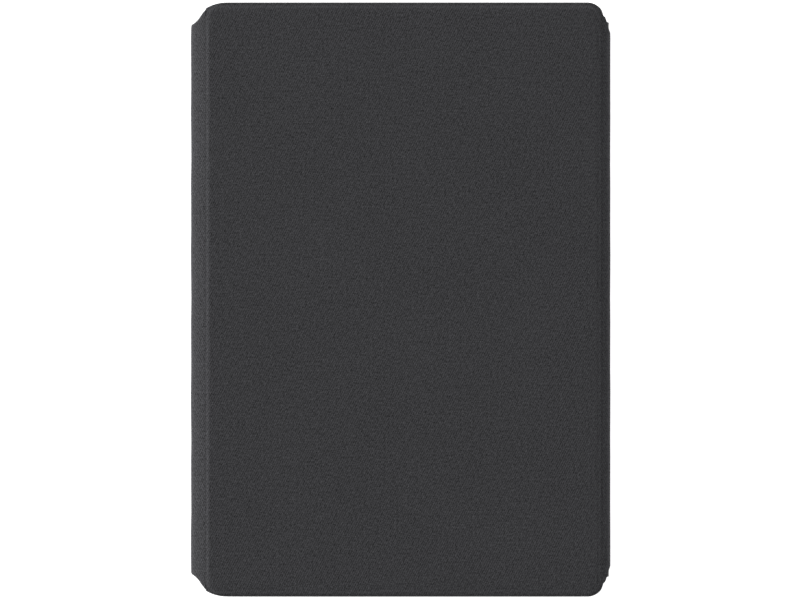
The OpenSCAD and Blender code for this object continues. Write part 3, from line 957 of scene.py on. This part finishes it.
def back_lining_half(s):
    """The lining stays a little inside the outer cloth's outline, and is narrow along the spine."""
    x = back_lining_profile.at(s)[..., 0]
    reach = np.minimum(reach_at(x) - 0.9 * MM, lining_high[1])
    reach = np.minimum(reach, spine_lining_half + np.clip(x - spine_face_x - 1 * MM, 0, None) * 1.1)
    return np.minimum(reach, rounded_end(lining_high[1], back_lining_profile.last - s, FLAP_CORNER))


lining_corner = lining_high[0] - EDGE_LEVELS[::-1]
flat_from = fold_inside_x + 1 * MM
back_lining_places = np.concatenate([
    spaced((back_lining_profile.first, flat_from, 0.5 * MM), (flat_from, corner_end_x, 1.2 * MM),
           (corner_end_x, lining_corner[0], 8 * MM))[:-1], lining_corner])
back_lining_cloth = make_cloth("back_lining_cloth", back_lining_profile, back_lining_places,
                               back_lining_half, lining_t, steady(LINING_EDGE), steady(LINING_TUCK),
                               steady(LINING_INSET), lining_finish, "end")
cut_round(back_lining_cloth, window_centre, WINDOW_R, bottom_z - CUT_DEPTH, bottom_z + CUT_DEPTH)
declare_cloth(back_lining_cloth, back_lining_profile, back_lining_half, 0)
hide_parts("back_lining")
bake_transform(back_lining_cloth)

# %% [markdown]
# ## Lining from the spine to the keyboard half
#
# The second piece starts in the gap behind the keyboard half, where it is glued in, turns down, and
# meets the first one. It has no border of its own that shows, so both its ends are square.

# %% Lining from the spine to the keyboard half
tuck_in_x = spine_x + 5.7 * MM
tuck_in_z = top_z - 2.1 * MM
spine_lining_line = [(tuck_in_x, tuck_in_z), (tuck_in_x - 0.6 * MM, tuck_in_z)]
spine_lining_line += quarter(spine_lining_line[-1], (spine_face_x, tuck_in_z - 3.2 * MM), False)
spine_lining_line += [(spine_face_x, middle_z)]
spine_lining_profile = Profile(spine_lining_line)
spine_lining_places = spaced((0, spine_lining_profile.last, 0.5 * MM))
spine_lining_cloth = make_cloth("spine_lining_cloth", spine_lining_profile, spine_lining_places,
                                steady(spine_lining_half), lining_t, steady(LINING_EDGE),
                                steady(LINING_TUCK), steady(LINING_INSET), lining_finish)
declare_cloth(spine_lining_cloth, spine_lining_profile, steady(spine_lining_half), 0)
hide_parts("spine_lining")
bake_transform(spine_lining_cloth)

# %% [markdown]
# ## Lining of the flap
#
# The flap's lining holds the stiffener, so it is as thick as that. It is a little longer than the flap's
# cloth, which is why the flap's ends show two steps.

# %% Lining of the flap
stiffener_t = stiffener_high[0] - stiffener_low[0]
flap_lining_x = stiffener_high[0] - stiffener_t
flap_lining_line = [(flap_lining_x, stiffener_low[2] + 0.15 * MM),
                    (flap_lining_x, stiffener_high[2] - 1 * MM)]
flap_lining_line += quarter(flap_lining_line[-1],
                            (flap_lining_x - 2.4 * MM, stiffener_high[2] + 2 * MM), True, 12)
flap_lining_profile = Profile(flap_lining_line)


def flap_lining_half(s):
    return rounded_end(np.full(np.shape(s), flap_end + 4.4 * MM), s, 2.5 * MM)


flap_lining_places = np.concatenate([
    EDGE_LEVELS[:-1], spaced((EDGE_LEVELS[-1], flap_lining_profile.last, 0.9 * MM))])
flap_lining_cloth = make_cloth("flap_lining_cloth", flap_lining_profile, flap_lining_places,
                               flap_lining_half, stiffener_t, steady(0.3 * MM), steady(FLAP_TUCK),
                               steady(LINING_INSET), lining_finish, "start")
declare_cloth(flap_lining_cloth, flap_lining_profile, flap_lining_half, 0)
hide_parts("flap_stiffener")
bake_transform(flap_lining_cloth)

# %% [markdown]
# ## Where the keycaps go
#
# The caps of one node become one piece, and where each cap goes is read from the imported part: its caps
# are found as the separate islands of its mesh.

# %% Islands of a mesh


def islands(node):
    """The box of each separate body in a node, from the user's left to right."""
    work = bmesh.new()
    work.from_mesh(nodes[node].data)
    bmesh.ops.remove_doubles(work, verts=work.verts, dist=1e-6)
    left, found = set(work.verts), []
    while left:
        group, queue = set(), [left.pop()]
        while queue:
            point = queue.pop()
            group.add(point)
            for edge in point.link_edges:
                other = edge.other_vert(point)
                if other in left:
                    left.discard(other)
                    queue.append(other)
        places = np.array([p.co[:] for p in group])
        found.append((places.min(axis=0), places.max(axis=0)))
    work.free()
    return sorted(found, key=lambda box: -box[0][1])


# %% [markdown]
# ## The shape of a keycap
#
# A keycap is moulded with sides that lean in slightly, a small round edge, and a finger face that dips
# in the middle so that the finger finds it. Here each cap is a stack of rounded rectangles, each with an
# inset and a share of the cap's height, and the dip is a smooth sum over the face.

# %% Keycap shape
CAP_CORNER = 1.6 * MM
LEAST_CORNER = 0.25 * MM
CORNER_STEPS = 4
SIDE_STEPS = 4
CAP_PROFILE = [(0, 0), (0.06, 0.6), (0.18, 0.78), (0.30, 0.90), (0.48, 0.975), (0.72, 1)]
FACE_INSET = 0.72 * MM
DISH = 0.22 * MM
DISH_RINGS = (0.86, 0.68, 0.45, 0.22)


def rounded_ring(low_corner, high_corner, inset, radius):
    """A rounded rectangle in X and Y, with extra points along its sides."""
    x0, y0 = low_corner[:2] + inset
    x1, y1 = high_corner[:2] - inset
    r = max(radius - inset, LEAST_CORNER)
    centres = [(x1 - r, y1 - r, 0), (x0 + r, y1 - r, 90), (x0 + r, y0 + r, 180), (x1 - r, y0 + r, 270)]
    points = []
    for i, (cx, cy, turn) in enumerate(centres):
        angles = np.radians(turn + np.linspace(0, 90, CORNER_STEPS + 1))
        points += [(cx + r * math.cos(a), cy + r * math.sin(a)) for a in angles]
        nx, ny, next_turn = centres[(i + 1) % 4]
        a = math.radians(next_turn)
        last, following = points[-1], (nx + r * math.cos(a), ny + r * math.sin(a))
        for k in range(1, SIDE_STEPS):
            share = k / SIDE_STEPS
            points.append(tuple(p + (q - p) * share for p, q in zip(last, following)))
    return np.array(points)


def dish_depth(points, low_corner, high_corner):
    """How far a cap's finger face dips at each point: most in the middle, nothing at its border."""
    middle = (low_corner[:2] + high_corner[:2]) / 2
    half = (high_corner[:2] - low_corner[:2]) / 2 - FACE_INSET
    share = np.clip(np.abs((points - middle) / half), 0, 1)
    power = 2 * half / half.min()
    return DISH * (1 - share[:, 0] ** power[0]) * (1 - share[:, 1] ** power[1])


def keycap(low_corner, high_corner):
    """Points and faces of one cap whose finger face points down."""
    face_z, skirt_z = low_corner[2], high_corner[2]
    rings = []
    for inset, rise in CAP_PROFILE:
        flat = rounded_ring(low_corner, high_corner, inset * MM, CAP_CORNER)
        rings.append(np.column_stack([flat, np.full(len(flat), skirt_z + (face_z - skirt_z) * rise)]))
    edge = rings[-1][:, :2]
    middle = edge.mean(axis=0)
    for share in DISH_RINGS:
        flat = middle + (edge - middle) * share
        dip = dish_depth(flat, low_corner, high_corner)
        rings.append(np.column_stack([flat, face_z + dip]))
    count = len(edge)
    points = np.concatenate(rings + [[[*middle, face_z + DISH]]])
    faces = []
    for k in range(len(rings) - 1):
        for i in range(count):
            j = (i + 1) % count
            faces.append((k * count + i, k * count + j, (k + 1) * count + j, (k + 1) * count + i))
    tip = len(points) - 1
    last = (len(rings) - 1) * count
    faces += [(last + i, last + (i + 1) % count, tip) for i in range(count)]
    faces.append(tuple(range(count))[::-1])
    return points, faces


# %% [markdown]
# ## Legends
#
# Legends are printed on the caps in light grey. Blender's own lettering gives the shapes: each legend is
# a text object that is turned into a mesh, laid on the dished face, and joined to its cap with a
# material of its own. They face down while the case is shut, so they read the right way once it is open.

# %% Legends
LEGEND_PROUD = 0.012 * MM
INK_HALF = 0.004
letterings = {}


def lettering(text):
    """Points and faces of a text of size 1 that is centred on the origin."""
    if text not in letterings:
        curve = bpy.data.curves.new("lettering", "FONT")
        curve.body = text
        curve.align_x = "CENTER"
        curve.align_y = "CENTER"
        curve.resolution_u = 3
        curve.extrude = INK_HALF
        holder = bpy.data.objects.new("lettering", curve)
        mesh = bpy.data.meshes.new_from_object(holder)
        points = np.array([v.co[:] for v in mesh.vertices])
        letterings[text] = points, [tuple(p.vertices) for p in mesh.polygons]
        bpy.data.objects.remove(holder)
        bpy.data.meshes.remove(mesh)
        bpy.data.curves.remove(curve)
    return letterings[text]


def arrow(turn):
    """A small triangle that points up, turned by this angle."""
    angles = np.radians(np.array([90, 210, 330]) + turn)
    flat = np.column_stack([np.cos(angles), np.sin(angles)]) * 0.42
    points = np.array([(*p, z) for z in (-INK_HALF, INK_HALF) for p in flat])
    return points, [(0, 2, 1), (3, 4, 5), (0, 1, 4, 3), (1, 2, 5, 4), (2, 0, 3, 5)]


def laid_legend(shape, size, box, up=0.0, right=0.0):
    """A legend on a cap's face. For the user, right is -Y and up is -X."""
    points, faces = shape
    middle = (box[0] + box[1]) / 2
    flat = np.column_stack([middle[0] - points[:, 1] * size - up, middle[1] - points[:, 0] * size - right])
    dip = dish_depth(flat, *box)
    height = box[0][2] + dip - LEGEND_PROUD - points[:, 2] * size
    return np.column_stack([flat, height]), faces


def printed(text, box):
    """The legends of one cap: a letter, a word, an arrow, or two signs one above the other."""
    if text.startswith("arrow"):
        return [laid_legend(arrow(float(text[5:])), 3.2 * MM, box)]
    if " / " in text:
        upper, lower = text.split(" / ")
        return [laid_legend(lettering(upper), 3.4 * MM, box, up=2.7 * MM),
                laid_legend(lettering(lower), 3.8 * MM, box, up=-2.6 * MM)]
    size = 5.0 * MM if len(text) == 1 else 2.9 * MM
    return [laid_legend(lettering(text), size, box)] if text else []


legend_finish = moulded("legend ink", grey(0.42, 0.03), grey(0.52, 0.03), 0.5, 1500, 0.002)

# %% [markdown]
# ## The keyboard
#
# Each entry names a node and lists the legends of its caps from the user's left to right. A node of
# several caps is a row that moves together. Each cap piece rides on its own key, so it can be pressed.

# %% Keyboard
SIGNS = "` ~,1 !,2 @,3 #,4 $,5 %,6 ^,7 &,8 *,9 (,0 ),- _,= +"
PAIRS = {"[": "{", "]": "}", "\\": "|", ";": ":", "'": '"', ",": "<", ".": ">", "/": "?"}


def with_shift(signs):
    return [PAIRS[s] + " / " + s if s in PAIRS else s for s in signs]


legends = {
    "escape_key": ["esc"],
    "function_keys": ["F%d" % n for n in range(1, 13)] + ["del", "lock"],
    "number_keys": [sign[2] + " / " + sign[0] for sign in SIGNS.split(",")],
    "backspace_key": ["backspace"],
    "tab_key": ["tab"],
    "upper_letter_keys": with_shift("QWERTYUIOP[]\\"),
    "caps_lock_key": ["caps lock"],
    "home_letter_keys": with_shift("ASDFGHJKL;'"),
    "enter_key": ["enter"],
    "left_shift_key": ["shift"],
    "lower_letter_keys": with_shift("ZXCVBNM,./"),
    "right_shift_key": ["shift"],
    "fn_key": ["fn"],
    "control_key": ["ctrl"],
    "left_alt_key": ["alt"],
    "left_command_key": ["cmd"],
    "space_key": [""],
    "right_command_key": ["cmd"],
    "right_alt_key": ["alt"],
    "arrow_left_key": ["arrow90"],
    "arrow_up_key": ["arrow0"],
    "arrow_down_key": ["arrow180"],
    "arrow_right_key": ["arrow270"],
}


def joined(parts):
    """Several point and face lists as one."""
    points, faces = [], []
    for some_points, some_faces in parts:
        start = sum(map(len, points))
        points.append(some_points)
        faces += [tuple(i + start for i in face) for face in some_faces]
    return np.concatenate(points), faces


def make_keys(node, texts):
    """All caps of one node as one piece, with their legends."""
    boxes = islands(node)
    caps = [keycap(*box) for box in boxes]
    prints = [part for text, box in zip(texts, boxes) for part in printed(text, box)]
    points, faces = joined(caps + prints)
    piece = add_piece(node + "_caps", points, faces, finishes["key_plastic"])
    piece.data.materials.append(legend_finish)
    cap_faces = sum(len(cap[1]) for cap in caps)
    for polygon in piece.data.polygons[cap_faces:]:
        polygon.material_index = 1
        polygon.use_smooth = False
    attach(piece, node)
    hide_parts(node)
    return len(boxes)


cap_count = sum(make_keys(node, texts) for node, texts in legends.items())
print("keycaps:", cap_count)

# %% [markdown]
# ## Soft edges on the moulded and stamped parts
#
# No real edge is perfectly sharp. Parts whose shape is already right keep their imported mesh, and gain a
# small round edge from modifiers: the first joins the mesh's points, the second merges flat triangles,
# the third rounds the sharp edges, and the last keeps flat faces looking flat.

# %% Soft edges


def soften(piece, width):
    """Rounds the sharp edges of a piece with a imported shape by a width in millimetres."""
    piece.modifiers.new("join", "WELD").merge_threshold = 0.001 * MM
    flatten = piece.modifiers.new("flatten", "DECIMATE")
    flatten.decimate_type = "DISSOLVE"
    flatten.angle_limit = math.radians(0.5)
    edge = piece.modifiers.new("round", "BEVEL")
    edge.width = width * MM
    edge.segments = 2
    edge.limit_method = "ANGLE"
    edge.angle_limit = math.radians(40)
    piece.modifiers.new("shade", "WEIGHTED_NORMAL")


SOFT_EDGES = {
    "tray_shell": 0.3, "corner_grips": 0.2, "chassis": 0.15, "key_deck": 0.15, "touchpad": 0.2,
    "leg_plate": 0.2, "leg_foot": 0.25, "deck_bumpers": 0.12, "power_switch": 0.3, "pair_button": 0.2,
    "volume_button": 0.45, "sleep_button": 0.45, "usb_port": 0.1, "battery": 0.5, "controller_board": 0.05,
    "tray_hinge_leaf": 0.06, "back_board": 0.1, "spine_board": 0.1, "deck_screws": 0.05,
}
for name, width in SOFT_EDGES.items():
    soften(nodes[name], width)
print("softened", len(SOFT_EDGES), "parts")

# %% [markdown]
# ## Tray pad
#
# The tray's floor has a thin felt pad cut to its outline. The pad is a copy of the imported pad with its
# edges rounded, since felt that is cut with a knife has a slightly soft rim. It is glued down flat, so
# its flat size is that of its box.

# %% Tray pad


def felt_copy(node, name, body, width):
    """A copy of a packed pad with soft edges, as a piece of its own."""
    copy = bpy.data.objects.new(name, nodes[node].data.copy())
    scene.collection.objects.link(copy)
    soften(copy, width)
    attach(copy, body)
    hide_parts(node)
    return copy


pad = felt_copy("tray_pad", "tray_pad_felt", "tray", 0.08)

# %% [markdown]
# ## Floor and light
#
# The case lies on a white table that is lit from above until it is nearly as bright as the background,
# so it casts almost no shadow. A wide soft light stands on the spine's side, which is why the spine's
# shoulder is the brightest part of the cloth, and a weaker one on the far side draws the flap's edge.

# %% Floor and light
FLOOR_HALF = 4


def white_floor():
    """The table: plain white with the faintest unevenness."""
    f = Finish("white table")
    tone = f.noise(f.place(), 3, 2)
    white = f.between(tone, grey(0.9), grey(0.94))
    return f.surface(Base_Color=white, Roughness=0.7, Emission_Color=white, Emission_Strength=0.88)


def add_floor():
    mesh = bpy.data.meshes.new("floor")
    square = [(x * FLOOR_HALF, y * FLOOR_HALF, 0) for x, y in ((-1, -1), (1, -1), (1, 1), (-1, 1))]
    mesh.from_pydata(square, [], [(0, 1, 2, 3)])
    mesh.materials.append(white_floor())
    floor = bpy.data.objects.new("floor", mesh)
    floor.location.z = bottom_z
    scene.collection.objects.link(floor)
    floor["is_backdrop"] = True


def add_light(name, direction, distance, size, watts):
    """A square soft light that looks at the case from a direction."""
    data = bpy.data.lights.new(name, "AREA")
    data.size = size
    data.energy = watts
    light = bpy.data.objects.new(name, data)
    way = np.array(direction) / np.linalg.norm(direction)
    light.location = way * distance
    light.rotation_mode = "QUATERNION"
    light.rotation_quaternion = light.location.to_track_quat("Z", "Y")
    scene.collection.objects.link(light)


def add_world(horizon, rise):
    """White light from all round that grows from the horizon to straight above."""
    f = Finish("studio", world=True)
    up = f.axes(f.node("TexCoord"))[2]
    scene.world = f.surface(Color=(1, 1, 1, 1), Strength=horizon + rise * up.at_least(0))


add_floor()
add_world(0.06, 0.40)
add_light("spine_side", (-1, 0.12, 0.34), 2.4, 0.9, 82)
add_light("flap_side", (1, 0.2, 0.3), 2.4, 0.8, 26)
add_light("overhead", (0, 0.2, 1), 2.4, 1.2, 4)
scene.view_settings.view_transform = "Standard"

# %% [markdown]
# ## Sizes at the end
#
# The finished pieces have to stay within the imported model's box, apart from a little that cloth may
# stand proud. Both boxes are written down so that they can be compared.

# %% Sizes at the end
visual_box = [list(corner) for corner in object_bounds()]
for axis, a, b in zip("xyz", zip(*cad_box), zip(*visual_box)):
    print(axis, "cad mm:", [round(v / MM, 2) for v in a], "visual mm:", [round(v / MM, 2) for v in b])
